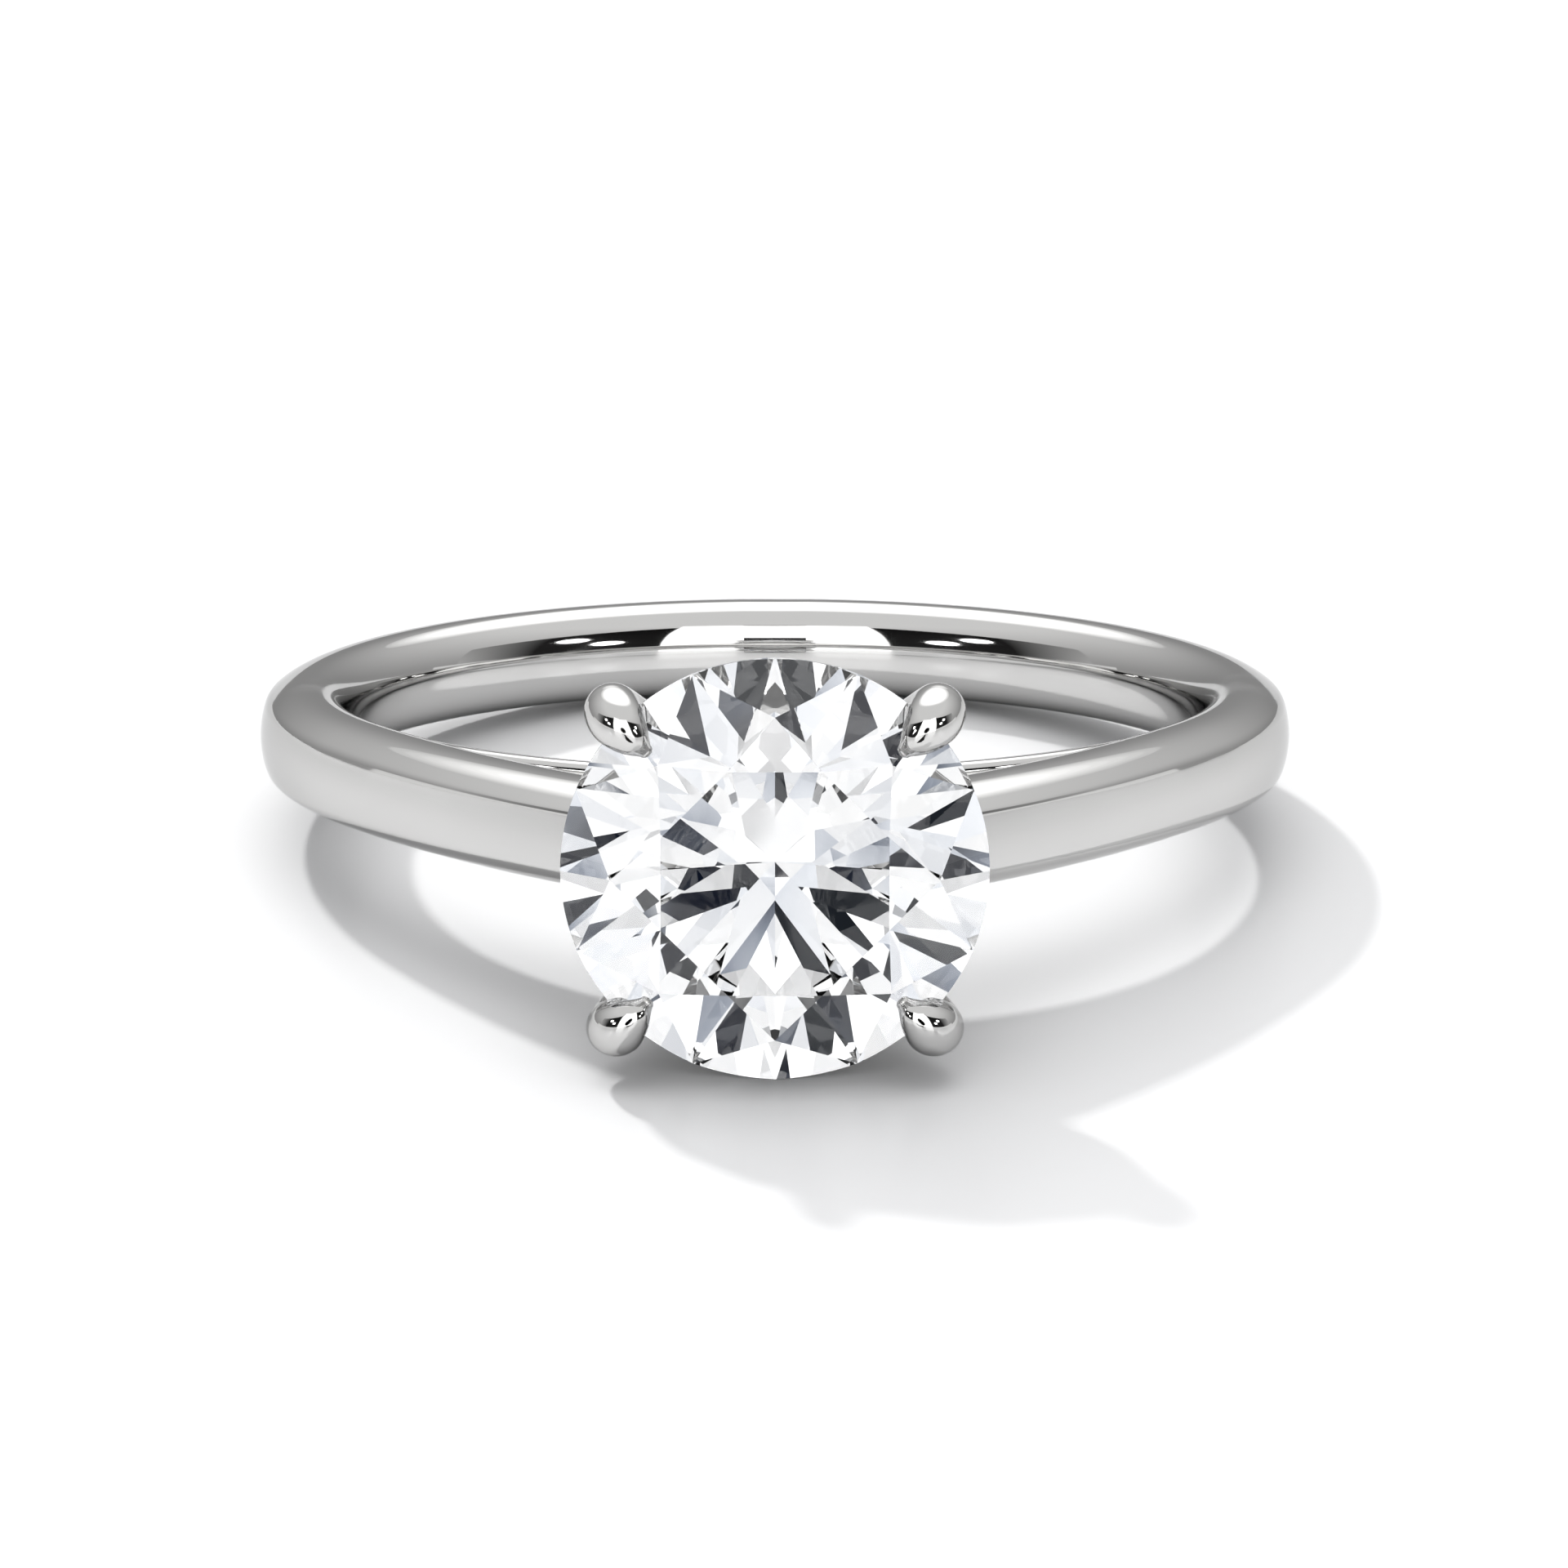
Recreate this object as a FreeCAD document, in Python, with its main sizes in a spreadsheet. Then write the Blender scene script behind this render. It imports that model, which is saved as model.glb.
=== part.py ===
import FreeCAD, Part
import math
import os
import Sketcher

# A cathedral solitaire ring with a round brilliant in a four-prong head, in millimetres.
# Everything is drawn upright in the ring's own frame: the finger axis is Z, the middle of the
# finger hole is the origin, and the head points along -Y with the stone's axis on Y. One
# placement then lays the whole ring down the way it rests on a table, on the edge of the
# stone and the back of the shank.

doc = FreeCAD.newDocument("solitaire_ring")

# ---------------------------------------------------------------- driving dimensions

DIMENSIONS = [
    ("bore_radius", 8.25),          # US size 6, a 16.5 mm bore
    ("shank_depth", 1.75),          # from the bore to the outer face
    ("shank_width", 1.96),          # along the finger
    ("face_width", 1.28),           # the flat outer face between its two edges
    ("face_dome", 0.16),            # how far that face bulges
    ("bore_round", 0.75),           # how far the comfort-fit bore rounds back to its crests
    ("bore_land", 0.50),            # the straight land in the middle of that bore
    ("arm_leaves_at", 58.0),        # degrees from the head where each arm leaves the circle
    ("arm_bend_radius", 23.125),    # the arm's gentle bend, on its centre line
    ("arm_end_x", 1.75),            # where the swept arm stops, before it is trimmed
    ("trim_top_x", 3.10),           # the slanting trim beside the head runs from here,
    ("trim_top_y", 14.08),          # above the girdle,
    ("trim_low_x", 1.60),           # to here, below the prongs' feet,
    ("trim_low_y", 8.42),
    ("trim_past_middle", 0.50),     # and takes away all that is past the middle
    ("sizing_angle", 9.0),          # the piece let in at the back
    ("bridge_depth", 0.95),         # the arc that closes the finger hole under the head
    ("bridge_width", 1.90),
    ("bridge_face", 1.50),
    ("bridge_dome", 0.05),
    ("bridge_half_angle", 57.0),
    ("stone_radius", 3.70),
    ("girdle_height", 0.18),
    ("girdle_centre", 13.08),       # from the middle of the finger hole
    ("table_ratio", 0.57),          # corner to corner, of the stone's diameter
    ("crown_angle", 34.5),
    ("pavilion_angle", 40.9),
    ("star_length", 0.50),
    ("lower_half_length", 0.77),
    ("prong_elbow_radius", 0.48),
    ("prong_elbow_reach", 3.88),    # from the stone's axis to the middle of an elbow
    ("prong_elbow_height", 12.92),
    ("prong_tip_radius", 0.40),
    ("prong_tip_reach", 3.61),
    ("prong_tip_height", 13.50),
    ("prong_base_radius", 0.40),
    ("prong_base_reach", 1.42),
    ("prong_base_height", 9.42),
    ("prong_neck_radius", 0.45),
    ("gallery_reach", 2.15),
    ("gallery_height", 10.90),
    ("gallery_wire", 0.32),
    ("base_reach", 1.42),
    ("base_top_reach", 1.78),
    ("base_height", 0.58),
    ("peg_radius", 0.70),
    ("peg_length", 1.14),
    ("peg_recess", 0.17),           # the peg's end stays this far below the bore's land
    ("base_sink", 0.10),            # how far the head's base is let into the bridge
]

sheet = doc.addObject("Spreadsheet::Sheet", "dims")
for row, (alias, value) in enumerate(DIMENSIONS, start=1):
    sheet.set("A%d" % row, alias)
    sheet.set("B%d" % row, str(value))
    sheet.setAlias("B%d" % row, alias)
doc.recompute()
d = {alias: float(sheet.get(alias)) for alias, value in DIMENSIONS}

outer_radius = d["bore_radius"] + d["shank_depth"]
girdle_top = d["girdle_centre"] + d["girdle_height"] / 2
girdle_bottom = d["girdle_centre"] - d["girdle_height"] / 2

# The ring lies on the lowest point of the girdle and the lower back edge of the shank. Both
# are round, so the floor touches each where its normal points: these are their two centres.
crown_rise = (d["shank_width"] - d["face_width"]) / 2
crown_run = d["shank_depth"] - d["face_dome"] - d["bore_round"]
crown_radius = (crown_run ** 2 + crown_rise ** 2) / (2 * crown_rise)
heel_y = d["bore_radius"] + d["bore_round"]
heel_z = crown_radius - d["shank_width"] / 2
toe_y = -girdle_bottom
toe_z = -d["stone_radius"]


def lying_angle():
    """The tilt at which the girdle's lowest edge and the shank's heel are level."""
    tilt = 0.0
    for step in range(60):
        drop_toe = toe_y * math.sin(-tilt) + toe_z * math.cos(tilt)
        drop_heel = heel_y * math.sin(-tilt) + heel_z * math.cos(tilt) - crown_radius
        span = (heel_y - toe_y) * math.cos(tilt)
        tilt += (drop_heel - drop_toe) / span
    return tilt, drop_toe


lying, lowest = lying_angle()
tilt_rotation = FreeCAD.Rotation(FreeCAD.Vector(1, 0, 0), -math.degrees(lying))

# ---------------------------------------------------------------- small helpers


def plane_of(body, role):
    """One of a body's own origin planes."""
    return [f for f in body.Origin.OriginFeatures if f.Role == role][0]


def new_body(name):
    return doc.addObject("PartDesign::Body", name)


def new_sketch(body, name, role):
    sketch = body.newObject("Sketcher::SketchObject", name)
    sketch.AttachmentSupport = [(plane_of(body, role), "")]
    sketch.MapMode = "FlatFace"
    return sketch


def name_dimension(sketch, constraint, name, expression):
    """Adds a dimension to a sketch and binds it to the sheet."""
    index = sketch.addConstraint(constraint)
    sketch.renameConstraint(index, name)
    sketch.setExpression("Constraints." + name, expression)


def join_loop(sketch, count):
    """Makes each of the first curves end where the next one starts."""
    for index in range(count):
        following = (index + 1) % count
        sketch.addConstraint(Sketcher.Constraint("Coincident", index, 2, following, 1))


def arc(start, middle, end):
    vectors = [FreeCAD.Vector(x, y, 0) for x, y in (start, middle, end)]
    return Part.Arc(*vectors)


def line(start, end):
    return Part.LineSegment(FreeCAD.Vector(*start, 0), FreeCAD.Vector(*end, 0))


def draw_band_section(sketch, band, face, dome):
    """A band's section: a domed outer face, a crown above and below that is level at its
    crest, and a comfort-fit bore, which has a narrow straight land between two rounded sides.

    band is "shank" or "bridge" and picks that band's depth and width from the sheet; face and
    dome name the width and the bulge of its outer face.
    """
    depth = band + "_depth"
    width = band + "_width"
    inner = d["bore_radius"]
    outer = inner + d[depth]
    crest = inner + d["bore_round"]
    edge = outer - d[dome]
    half_edge = d[face] / 2
    half_width = d[width] / 2
    run = edge - crest
    rise = half_width - half_edge
    dome_curve = (half_edge ** 2 + d[dome] ** 2) / (2 * d[dome])
    crown_curve = (run ** 2 + rise ** 2) / (2 * rise)
    half_land = d["bore_land"] / 2
    side = half_width - half_land
    bore_curve = (side ** 2 + d["bore_round"] ** 2) / (2 * d["bore_round"])
    half_turn = math.atan2(run, crown_curve - rise) / 2
    shoulder_x = crest + crown_curve * math.sin(half_turn)
    shoulder_y = half_width - crown_curve * (1 - math.cos(half_turn))
    knee_turn = (math.atan2(side, d["bore_round"] - bore_curve) + math.pi) / 2
    knee_x = inner + bore_curve * (1 + math.cos(knee_turn))
    knee_y = half_land + bore_curve * math.sin(knee_turn)

    sketch.addGeometry(arc((edge, -half_edge), (outer, 0), (edge, half_edge)))
    sketch.addGeometry(arc((edge, half_edge), (shoulder_x, shoulder_y), (crest, half_width)))
    sketch.addGeometry(arc((crest, half_width), (knee_x, knee_y), (inner, half_land)))
    sketch.addGeometry(line((inner, half_land), (inner, -half_land)))
    sketch.addGeometry(arc((inner, -half_land), (knee_x, -knee_y), (crest, -half_width)))
    sketch.addGeometry(arc((crest, -half_width), (shoulder_x, -shoulder_y), (edge, -half_edge)))
    join_loop(sketch, 6)
    sketch.addConstraint(Sketcher.Constraint("Symmetric", 0, 1, 0, 2, -1))
    sketch.addConstraint(Sketcher.Constraint("Symmetric", 2, 1, 4, 2, -1))
    sketch.addConstraint(Sketcher.Constraint("Symmetric", 3, 1, 3, 2, -1))
    sketch.addConstraint(Sketcher.Constraint("Equal", 1, 5))
    sketch.addConstraint(Sketcher.Constraint("Equal", 2, 4))

    names = {"depth": depth, "width": width, "face": face, "dome": dome}
    bound = (
        (("DistanceX", -1, 1, 2, 1, crest), "crest_radius",
         "dims.bore_radius + dims.bore_round"),
        (("DistanceY", -1, 1, 2, 1, half_width), "crest_height",
         "dims.{width} / 2"),
        (("DistanceX", -1, 1, 0, 2, edge), "edge_radius",
         "dims.bore_radius + dims.{depth} - dims.{dome}"),
        (("DistanceY", -1, 1, 0, 2, half_edge), "edge_height",
         "dims.{face} / 2"),
        (("Radius", 0, dome_curve), "dome_curve",
         "(dims.{face} ^ 2 / 4 + dims.{dome} ^ 2) / (2 * dims.{dome})"),
        (("Radius", 1, crown_curve), "crown_curve",
         "((dims.{depth} - dims.{dome} - dims.bore_round) ^ 2"
         " + (dims.{width} - dims.{face}) ^ 2 / 4) / (dims.{width} - dims.{face})"),
        (("DistanceX", -1, 1, 3, 1, inner), "land_radius",
         "dims.bore_radius"),
        (("DistanceY", -1, 1, 3, 1, half_land), "land_height",
         "dims.bore_land / 2"),
        (("Radius", 2, bore_curve), "bore_curve",
         "((dims.{width} - dims.bore_land) ^ 2 / 4 + dims.bore_round ^ 2) / (2 * dims.bore_round)"),
    )
    for constraint, name, expression in bound:
        name_dimension(sketch, Sketcher.Constraint(*constraint), name, expression.format(**names))


def draw_shank_section(sketch):
    draw_band_section(sketch, "shank", "face_width", "face_dome")


def pocket_through(body, sketch, name):
    """Cuts a closed sketch on the middle plane right through the body, both ways."""
    pocket = body.newObject("PartDesign::Pocket", name)
    pocket.Profile = sketch
    pocket.Midplane = True
    pocket.setExpression("Length", "4 * dims.shank_width")
    return pocket


def turn_section(body, sketch, name, angle_expression):
    """Turns a band section about the finger axis, half the angle each way."""
    turned = body.newObject("PartDesign::Revolution", name)
    turned.Profile = sketch
    turned.ReferenceAxis = (sketch, ["V_Axis"])
    turned.Midplane = True
    turned.setExpression("Angle", angle_expression)
    return turned


def cut(name, base, tools):
    """base minus each tool in turn, as Part booleans."""
    result = base
    for index, tool in enumerate(tools):
        last = index == len(tools) - 1
        step = doc.addObject("Part::Cut", name if last else "%s_cut_%d" % (name, index))
        step.Base = result
        step.Tool = tool
        result = step
    return result


# ---------------------------------------------------------------- the stone


def facet_planes():
    """Each facet as (azimuth, slope, reach, height): a plane that falls away from the stone's
    axis at slope, and passes through the point at that reach and height."""
    radius = d["stone_radius"]
    half_step = math.radians(22.5)
    quarter_step = half_step / 2
    crown = math.tan(math.radians(d["crown_angle"]))
    pavilion = math.tan(math.radians(d["pavilion_angle"]))
    top = d["girdle_height"] / 2
    table_corner = d["table_ratio"] * radius
    table_flat = table_corner * math.cos(half_step)
    table_height = top + (radius - table_corner) * crown
    star_reach = table_flat + d["star_length"] * (radius - table_flat)
    star_height = top + (radius - star_reach * math.cos(half_step)) * crown
    star_slope = (table_height - star_height) / (star_reach - table_flat)
    half_reach = radius * math.cos(quarter_step)
    upper_slope = (star_height - top) / (half_reach - star_reach * math.cos(quarter_step))
    meet_reach = radius * (1 - d["lower_half_length"])
    meet_depth = (radius - meet_reach * math.cos(half_step)) * pavilion
    lower_slope = meet_depth / (half_reach - meet_reach * math.cos(quarter_step))
    planes = [(0.0, 0.0, 0.0, table_height)]
    for turn in range(8):
        main = (2 * turn + 1) * half_step
        planes.append((main, crown, radius, top))
        planes.append((main - half_step, star_slope, table_flat, table_height))
        planes.append((main, -pavilion, radius, -top))
        for side in (-1, 1):
            planes.append((main + side * quarter_step, upper_slope, half_reach, top))
            planes.append((main + side * quarter_step, -lower_slope, half_reach, -top))
    return planes


def half_space(azimuth, slope, reach, height):
    """A big block on the outer side of one facet plane, standing on the stone's own axis Z."""
    size = 6 * d["stone_radius"]
    block = Part.makeBox(size, size, size, FreeCAD.Vector(-size / 2, -size / 2, 0))
    sign = -1 if slope < 0 else 1
    if slope < 0:
        block.rotate(FreeCAD.Vector(0, 0, 0), FreeCAD.Vector(1, 0, 0), 180)
    block.rotate(
        FreeCAD.Vector(0, 0, 0),
        FreeCAD.Vector(0, 1, 0),
        sign * math.degrees(math.atan(abs(slope))),
    )
    block.translate(FreeCAD.Vector(reach, 0, height))
    block.rotate(FreeCAD.Vector(0, 0, 0), FreeCAD.Vector(0, 0, 1), math.degrees(azimuth))
    return block


def cut_brilliant():
    """A round brilliant cut from a cylinder, one facet plane at a time."""
    radius = d["stone_radius"]
    shape = Part.makeCylinder(radius, 2 * radius, FreeCAD.Vector(0, 0, -radius))
    for plane in facet_planes():
        shape = shape.cut(half_space(*plane))
    return shape.Solids[0]


stone = doc.addObject("Part::Feature", "diamond_cut")
stone.Shape = cut_brilliant()
# the stone's own axis Z turns to point along -Y
stone.Placement = FreeCAD.Placement(
    FreeCAD.Vector(0, -d["girdle_centre"], 0),
    FreeCAD.Rotation(FreeCAD.Vector(1, 0, 0), 90),
)

# ---------------------------------------------------------------- the head


def ring_wire(name, reach, height, wire):
    """A round wire ring about the stone's axis."""
    torus = doc.addObject("Part::Torus", name)
    torus.setExpression("Radius1", "dims." + reach)
    torus.setExpression("Radius2", "dims." + wire)
    torus.Placement = FreeCAD.Placement(
        FreeCAD.Vector(0, -d[height], 0), FreeCAD.Rotation(FreeCAD.Vector(1, 0, 0), 90)
    )
    return torus


gallery = ring_wire("gallery_wire_ring", "gallery_reach", "gallery_height", "gallery_wire")

toward_stone = FreeCAD.Rotation(FreeCAD.Vector(1, 0, 0), 90)

peg_rod = doc.addObject("Part::Cylinder", "peg_rod")
peg_rod.setExpression("Radius", "dims.peg_radius")
peg_rod.setExpression("Height", "dims.peg_length")
peg_rod.Placement = FreeCAD.Placement(
    FreeCAD.Vector(0, -d["bore_radius"] - d["peg_recess"], 0), toward_stone
)

base_cone = doc.addObject("Part::Cone", "base_cone")
base_cone.setExpression("Radius1", "dims.base_reach")
base_cone.setExpression("Radius2", "dims.base_top_reach")
base_cone.setExpression("Height", "dims.base_height")
base_cone.Placement = FreeCAD.Placement(
    FreeCAD.Vector(0, -d["bore_radius"] - d["bridge_depth"] + d["base_sink"], 0), toward_stone
)

# ---------------------------------------------------------------- the shank


def make_half_band(name):
    """The left half of the band: from the back round to the head, with its cathedral arm."""
    body = new_body(name)
    middle = d["bore_radius"] + d["shank_depth"] / 2
    bend = d["arm_bend_radius"]
    leave = math.radians(270 - d["arm_leaves_at"])
    bend_centre = FreeCAD.Vector(math.cos(leave), math.sin(leave), 0) * (middle - bend)
    end_angle = math.pi + math.acos((bend_centre.x + d["arm_end_x"]) / bend)

    path = new_sketch(body, name + "_path", "XY_Plane")
    axis = FreeCAD.Vector(0, 0, 1)
    origin = FreeCAD.Vector(0, 0, 0)
    path.addGeometry(Part.ArcOfCircle(Part.Circle(origin, axis, middle), math.pi / 2, leave))
    path.addGeometry(Part.ArcOfCircle(Part.Circle(bend_centre, axis, bend), leave, end_angle))
    leave_point = (middle * math.cos(leave), middle * math.sin(leave))
    path.addGeometry(line((0, 0), leave_point), True)
    path.addConstraint(Sketcher.Constraint("Coincident", 0, 3, -1, 1))
    path.addConstraint(Sketcher.Constraint("PointOnObject", 0, 1, -2))
    path.addConstraint(Sketcher.Constraint("Coincident", 2, 1, -1, 1))
    path.addConstraint(Sketcher.Constraint("Coincident", 2, 2, 0, 2))
    path.addConstraint(Sketcher.Constraint("Tangent", 0, 2, 1, 1))
    name_dimension(
        path,
        Sketcher.Constraint("Radius", 0, middle),
        "circle",
        "dims.bore_radius + dims.shank_depth / 2",
    )
    name_dimension(path, Sketcher.Constraint("Radius", 1, bend), "bend", "dims.arm_bend_radius")
    name_dimension(
        path,
        Sketcher.Constraint("Angle", -2, 1, 2, 1, leave - math.pi / 2),
        "leave",
        "180 - dims.arm_leaves_at",
    )
    name_dimension(
        path,
        Sketcher.Constraint("DistanceX", 1, 2, -1, 1, d["arm_end_x"]),
        "arm_end",
        "dims.arm_end_x",
    )

    section = new_sketch(body, name + "_section", "YZ_Plane")
    draw_shank_section(section)
    doc.recompute()

    pipe = body.newObject("PartDesign::AdditivePipe", name + "_sweep")
    pipe.Profile = section
    pipe.Spine = (path, ["Edge1", "Edge2"])
    doc.recompute()

    # the gap for the piece let in at the back
    gap = new_sketch(body, name + "_gap", "XY_Plane")
    reach = outer_radius + 1
    half = math.radians(d["sizing_angle"] / 2)
    corners = [(0, 0), (reach * math.tan(half), reach), (-reach * math.tan(half), reach)]
    for index in range(3):
        gap.addGeometry(line(corners[index], corners[(index + 1) % 3]))
    join_loop(gap, 3)
    gap.addConstraint(Sketcher.Constraint("Coincident", 0, 1, -1, 1))
    gap.addConstraint(Sketcher.Constraint("Symmetric", 0, 2, 1, 2, -2))
    name_dimension(
        gap, Sketcher.Constraint("DistanceY", -1, 1, 0, 2, reach), "reach",
        "dims.bore_radius + dims.shank_depth + 1",
    )
    name_dimension(
        gap, Sketcher.Constraint("Angle", 0, 1, 2, 2, 2 * half), "width", "dims.sizing_angle",
    )
    pocket_through(body, gap, name + "_sizing_gap")
    doc.recompute()

    # the slanting end that meets the head
    end = new_sketch(body, name + "_end", "XY_Plane")
    top_x, top_y = d["trim_top_x"], d["trim_top_y"]
    low_x, low_y = d["trim_low_x"], d["trim_low_y"]
    past = d["trim_past_middle"]
    corners = [(-top_x, -top_y), (past, -top_y), (past, -low_y), (-low_x, -low_y)]
    for index in range(4):
        end.addGeometry(line(corners[index], corners[(index + 1) % 4]))
    join_loop(end, 4)
    end.addConstraint(Sketcher.Constraint("Horizontal", 0))
    end.addConstraint(Sketcher.Constraint("Vertical", 1))
    end.addConstraint(Sketcher.Constraint("Horizontal", 2))
    for constraint, dimension in (
        (("DistanceX", 0, 1, -1, 1, top_x), "trim_top_x"),
        (("DistanceY", 0, 1, -1, 1, top_y), "trim_top_y"),
        (("DistanceX", 3, 1, -1, 1, low_x), "trim_low_x"),
        (("DistanceY", 3, 1, -1, 1, low_y), "trim_low_y"),
        (("DistanceX", -1, 1, 1, 1, past), "trim_past_middle"),
    ):
        name_dimension(end, Sketcher.Constraint(*constraint), dimension, "dims." + dimension)
    pocket_through(body, end, name + "_end_cut")
    doc.recompute()
    return body


left_band = make_half_band("half_band")
right_band = doc.addObject("Part::Mirroring", "half_band_mirrored")
right_band.Source = left_band
right_band.Base = FreeCAD.Vector(0, 0, 0)
right_band.Normal = FreeCAD.Vector(1, 0, 0)

sizing_piece = new_body("sizing_piece")
sizing_section = new_sketch(sizing_piece, "sizing_section", "YZ_Plane")
draw_shank_section(sizing_section)
doc.recompute()
turn_section(sizing_piece, sizing_section, "sizing_turn", "dims.sizing_angle")

# ---------------------------------------------------------------- the finger bridge

bridge_arc = new_body("bridge_arc")
bridge_section = new_sketch(bridge_arc, "bridge_section", "YZ_Plane")
draw_band_section(bridge_section, "bridge", "bridge_face", "bridge_dome")
doc.recompute()
turn_section(bridge_arc, bridge_section, "bridge_turn", "2 * dims.bridge_half_angle")
# it is drawn at the back like the band's section, and belongs at the head
bridge_arc.Placement = FreeCAD.Placement(
    FreeCAD.Vector(0, 0, 0), FreeCAD.Rotation(FreeCAD.Vector(0, 0, 1), 180)
)
doc.recompute()

# ---------------------------------------------------------------- the prongs


def make_prong(name, side, level):
    """A prong: a tapered wire that bends over the girdle at its elbow and ends in a rounded
    claw, notched where the stone and the rails sit.

    side is -1 on the left and 1 on the right; level is 1 for an upper prong, -1 for a lower.
    """
    share = math.sqrt(0.5)
    foot, elbow, tip = [
        FreeCAD.Vector(
            side * share * d["prong_%s_reach" % place],
            -d["prong_%s_height" % place],
            level * share * d["prong_%s_reach" % place],
        )
        for place in ("base", "elbow", "tip")
    ]
    # the seams of the round faces point away from the stone, clear of every notch
    outward = FreeCAD.Vector(side, 0, level)
    pieces = []
    for start, end, low, high in (
        (foot, elbow, "prong_base_radius", "prong_neck_radius"),
        (elbow, tip, "prong_elbow_radius", "prong_tip_radius"),
    ):
        along = FreeCAD.Rotation(outward, FreeCAD.Vector(0, 0, 0), end - start, "ZXY")
        wire = doc.addObject("Part::Cone", "%s_wire_%d" % (name, len(pieces)))
        wire.setExpression("Radius1", "dims." + low)
        wire.setExpression("Radius2", "dims." + high)
        wire.Height = (end - start).Length
        wire.Placement = FreeCAD.Placement(start, along)
        ball = doc.addObject("Part::Sphere", "%s_ball_%d" % (name, len(pieces)))
        ball.setExpression("Radius", "dims.prong_elbow_radius" if end is elbow else "dims." + high)
        ball.Placement = FreeCAD.Placement(end, along)
        pieces.extend((wire, ball))
    whole = doc.addObject("Part::MultiFuse", name + "_whole")
    whole.Shapes = pieces
    return cut(name, whole, [stone, gallery, base_cone])


prongs = [
    make_prong("prong_upper_left", -1, 1),
    make_prong("prong_upper_right", 1, 1),
    make_prong("prong_lower_left", -1, -1),
    make_prong("prong_lower_right", 1, -1),
]

# ---------------------------------------------------------------- the finished nodes


def finished(name, source):
    """A node of its own for a piece that also serves as a cutting tool for its neighbours."""
    node = doc.addObject("Part::Compound", name)
    node.Links = [source]
    return node


nodes = {
    "shank_left": cut("shank_left", left_band, [gallery]),
    "shank_right": cut("shank_right", right_band, [gallery]),
    "sizing_piece": sizing_piece,
    "finger_bridge": cut("finger_bridge", bridge_arc, [left_band, right_band, peg_rod]),
    "head_base": cut("head_base", base_cone, [bridge_arc, peg_rod]),
    "head_peg": finished("head_peg", peg_rod),
    "gallery_rail": finished("gallery_rail", gallery),
    "diamond": finished("diamond", stone),
}
for prong in prongs:
    nodes[prong.Name] = prong
doc.recompute()

# ---------------------------------------------------------------- lay the ring down

# tilted about the finger hole first, to see how far to move it
tilt_only = FreeCAD.Placement(FreeCAD.Vector(0, 0, 0), tilt_rotation)
box = FreeCAD.BoundBox()
for node in nodes.values():
    turned = node.Shape.copy()
    turned.Placement = tilt_only.multiply(turned.Placement)
    box.add(turned.optimalBoundingBox(False))
shift = FreeCAD.Vector(0, -(box.YMin + box.YMax) / 2, -lowest)
resting = FreeCAD.Placement(shift, tilt_rotation)
for name, node in nodes.items():
    node.Label = name
    node.Placement = resting
doc.recompute()

# ---------------------------------------------------------------- check, then write

for item in doc.Objects:
    if "Invalid" in item.State or "Error" in item.State:
        raise RuntimeError("%s did not compute: %s" % (item.Name, item.State))
for name, node in nodes.items():
    if node.Shape.isNull() or not node.Shape.isValid():
        raise RuntimeError(name + " has no valid shape")
    if len(node.Shape.Solids) != 1:
        raise RuntimeError("%s is %d solids" % (name, len(node.Shape.Solids)))

os.makedirs("parts", exist_ok=True)
for name, node in nodes.items():
    node.Shape.exportStep("parts/%s.step" % name)
    print(name, "%.3f mm3" % node.Shape.Volume)
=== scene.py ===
import math

import bmesh
import bpy
import numpy as np
from mathutils import Matrix, Vector


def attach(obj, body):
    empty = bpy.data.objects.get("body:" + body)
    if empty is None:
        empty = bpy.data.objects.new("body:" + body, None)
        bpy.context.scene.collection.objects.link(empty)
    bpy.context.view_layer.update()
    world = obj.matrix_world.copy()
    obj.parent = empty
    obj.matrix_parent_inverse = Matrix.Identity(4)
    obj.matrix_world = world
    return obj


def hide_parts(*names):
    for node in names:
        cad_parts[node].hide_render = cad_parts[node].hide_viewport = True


# The looks of a cathedral solitaire ring. The pieces are drawn upright in the ring's own frame,
# in millimetres: the finger axis is Z, the middle of the finger hole is the origin, and the head
# points along -Y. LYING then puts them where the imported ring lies, in metres.

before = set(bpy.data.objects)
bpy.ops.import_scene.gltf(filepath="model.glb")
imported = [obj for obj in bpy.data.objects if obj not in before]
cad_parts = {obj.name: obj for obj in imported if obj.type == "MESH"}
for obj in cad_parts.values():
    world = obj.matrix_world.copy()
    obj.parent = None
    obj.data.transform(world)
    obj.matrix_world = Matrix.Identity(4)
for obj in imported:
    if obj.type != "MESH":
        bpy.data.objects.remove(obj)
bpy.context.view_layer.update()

MM = 0.001
SHARP_ANGLE = math.radians(50)      # edges sharper than this aren't shaded smooth
TILT = math.radians(-7.027786)
BORE_MIDDLE = Vector((0, 2.229805, 2.082866)) * MM
LYING = Matrix.Translation(BORE_MIDDLE) @ Matrix.Rotation(TILT, 4, "X") @ Matrix.Scale(MM, 4)

# the band
BORE = 8.25
OUTER = 10.0
HALF_WIDTH = 0.98
LEAVES_AT = math.radians(58)        # where the arm leaves the outer circle, from the head
BEND = 24.0                         # the arm's outer radius
CREST = 1.0                         # depth of the band's two crests below its outer face
ARM_TURN = math.radians(21.5)       # how far the arm bends before its trim
CHANGE_START = OUTER * math.radians(110)  # the section starts to change here, from the back,
CHANGE_INTO_ARM = 6.0               # and ends this far along the arm
SIZING_HALF = math.radians(4.5)
TRIM_TOP = (3.10, 14.08)            # the slanting trim of each arm beside the head
TRIM_LOW = (1.60, 8.42)
BRIDGE_DEPTH = 0.95
BRIDGE_HALF_WIDTH = 0.95
BRIDGE_HALF = math.radians(60)      # to either side of the head
BRIDGE_HIDDEN = math.radians(56)    # from here on the arms cover it,
BRIDGE_EASE = math.radians(3)       # and over this angle
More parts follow.
